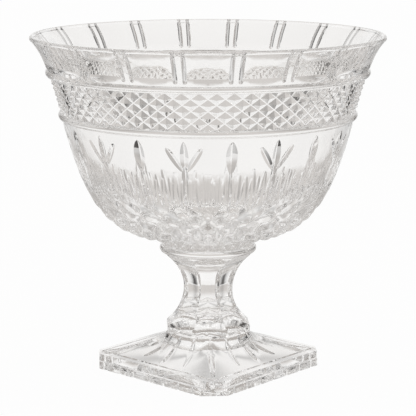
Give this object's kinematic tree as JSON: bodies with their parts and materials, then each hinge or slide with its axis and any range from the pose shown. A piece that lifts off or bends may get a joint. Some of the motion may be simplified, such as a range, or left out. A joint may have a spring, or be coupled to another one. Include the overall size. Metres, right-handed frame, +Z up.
{
  "type": "footed fruit bowl",
  "caption": "Clear cut-crystal bowl with a flared panelled rim and diamond band, on a waisted eight-sided stem and a square foot; holds fruit on a table.",
  "frame": {"origin": "middle of the foot's underside, on the table", "axes": "+Z up along the axis of the bowl; +X and +Y square to the sides of the foot"},
  "size_m": [0.2498, 0.2498, 0.24],
  "materials": {
    "bowl_crystal": "polished clear crystal",
    "stem_crystal": "polished clear crystal",
    "foot_crystal": "polished clear crystal",
    "clear_bond": "clear cured adhesive"
  },
  "bodies": {
    "root": {"bowl": "bowl_crystal", "bowl_bond": "clear_bond", "stem": "stem_crystal", "foot_bond": "clear_bond", "foot": "foot_crystal"}
  },
  "joints": []
}
